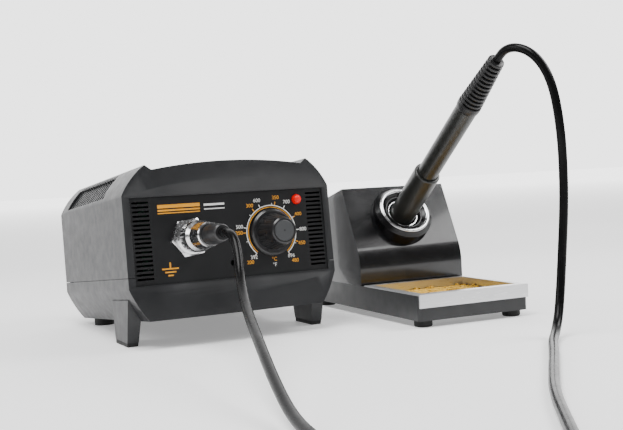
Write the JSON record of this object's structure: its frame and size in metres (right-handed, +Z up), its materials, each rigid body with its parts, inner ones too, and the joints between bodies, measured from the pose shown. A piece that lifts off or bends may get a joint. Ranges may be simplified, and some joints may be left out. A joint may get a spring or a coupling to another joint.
{
  "type": "soldering iron station",
  "caption": "Bench soldering station: bevelled control unit with a dial, plug-in iron resting in a hooded stand with a sponge tray, and the iron's lead.",
  "frame": {"origin": "on the bench, under the middle of the control unit and the stand together", "axes": "+X to the right as the user sees it, +Y to the back, +Z up"},
  "size_m": [0.2708, 0.5032, 0.162],
  "materials": {
    "case_plastic": "satin",
    "panel_black": "fine texture",
    "knob_black": "satin",
    "knob_face": "satin",
    "led_red": "clear red, lit",
    "chrome": "polished plate",
    "plain_steel": "bright zinc plate",
    "board_green": "solder mask",
    "component_black": "moulded",
    "insulator": "moulded",
    "contact_brass": "bright",
    "sink_aluminium": "mill finish",
    "core_steel": "varnished laminations",
    "coil_wrap": "varnished tape",
    "inlet_black": "moulded",
    "foot_rubber": "matte",
    "boot_rubber": "satin",
    "stand_paint": "gloss enamel",
    "base_paint": "semi-gloss enamel",
    "tray_steel": "polished",
    "sponge_yellow": "open cellulose",
    "holder_gloss": "gloss",
    "handle_black": "satin",
    "ceramic": "glazed",
    "tip_plate": "plated, tinned end",
    "cord_black": "gloss"
  },
  "bodies": {
    "station": {"board_screws": "plain_steel", "board_standoffs": "plain_steel", "circuit_board": "board_green", "cord_coil": "cord_black", "cord_iron_side": "cord_black", "cord_unit_side": "cord_black", "front_panel": "panel_black", "fuse_holder": "inlet_black", "guard_tube": "plain_steel", "heat_sink": "sink_aluminium", "holder_nut": "plain_steel", "holder_ring": "holder_gloss", "hood_screws": "plain_steel", "inlet_blades": "contact_brass", "inlet_screws": "plain_steel", "led_leads": "plain_steel", "led_lens": "led_red", "leg_pads": "foot_rubber", "lower_shell": "case_plastic", "plug_body": "component_black", "plug_sleeve": "component_black", "potentiometer_body": "plain_steel", "potentiometer_nut": "chrome", "power_inlet": "inlet_black", "rear_feet": "foot_rubber", "rear_panel": "panel_black", "smoothing_capacitors": "component_black", "socket_insulator": "insulator", "socket_nut": "chrome", "socket_pins": "contact_brass", "socket_shell": "chrome", "stand_base": "base_paint", "stand_feet": "foot_rubber", "stand_hood": "stand_paint", "switch_frame": "inlet_black", "transformer_bracket": "plain_steel", "transformer_coil": "coil_wrap", "transformer_core": "core_steel", "transformer_screws": "plain_steel", "triac": "component_black", "trimmer_body": "insulator", "upper_shell": "case_plastic"},
    "knob": {"knob_body": "knob_black", "knob_cap": "knob_face", "potentiometer_shaft": "plain_steel"},
    "trimmer": {"trimmer_rotor": "insulator"},
    "coupling": {"coupling_ring": "chrome"},
    "rocker": {"switch_rocker": "inlet_black"},
    "fuse_cap_body": {"fuse_cap": "inlet_black"},
    "iron": {"barrel": "plain_steel", "barrel_nut": "plain_steel", "heating_element": "ceramic", "tip": "tip_plate", "handle_tube": "handle_black", "grip_sleeve": "handle_black", "cable_boot": "boot_rubber"},
    "tray": {"sponge_tray": "tray_steel"},
    "sponge_body": {"sponge": "sponge_yellow"}
  },
  "joints": [
    {"name": "knob_turn", "type": "hinge", "parent": "station", "child": "knob", "pos_m": [-0.0326, -0.03286, 0.06088], "axis": [0, 0.996, -0.0898], "range_deg": [-230, 50]},
    {"name": "trimmer_turn", "type": "hinge", "parent": "station", "child": "trimmer", "pos_m": [-0.0588, -0.02017, 0.04347], "axis": [0, 0.996, -0.0898], "range_deg": [-130, 130]},
    {"name": "coupling_turn", "type": "hinge", "parent": "station", "child": "coupling", "pos_m": [-0.0848, -0.03282, 0.06128], "axis": [0, 0.996, -0.0898], "continuous": true},
    {"name": "rocker_tilt", "type": "hinge", "parent": "station", "child": "rocker", "pos_m": [-0.0738, 0.10993, 0.03877], "axis": [1, 0, 0], "range_deg": [0, 18]},
    {"name": "fuse_cap_turn", "type": "hinge", "parent": "station", "child": "fuse_cap_body", "pos_m": [-0.1018, 0.11013, 0.03876], "axis": [0, 0.996, -0.0898], "range_deg": [0, 90]},
    {"name": "iron_lift", "type": "slide", "parent": "station", "child": "iron", "axis": [-0.0332, -0.7916, 0.6101], "range_m": [0, 0.07], "deforming": ["cord_iron_side"]},
    {"name": "tray_lift", "type": "slide", "parent": "station", "child": "tray", "axis": [0, 0, 1], "range_m": [0, 0.03]},
    {"name": "sponge_lift", "type": "slide", "parent": "tray", "child": "sponge_body", "axis": [0, 0, 1], "range_m": [0, 0.02]}
  ]
}
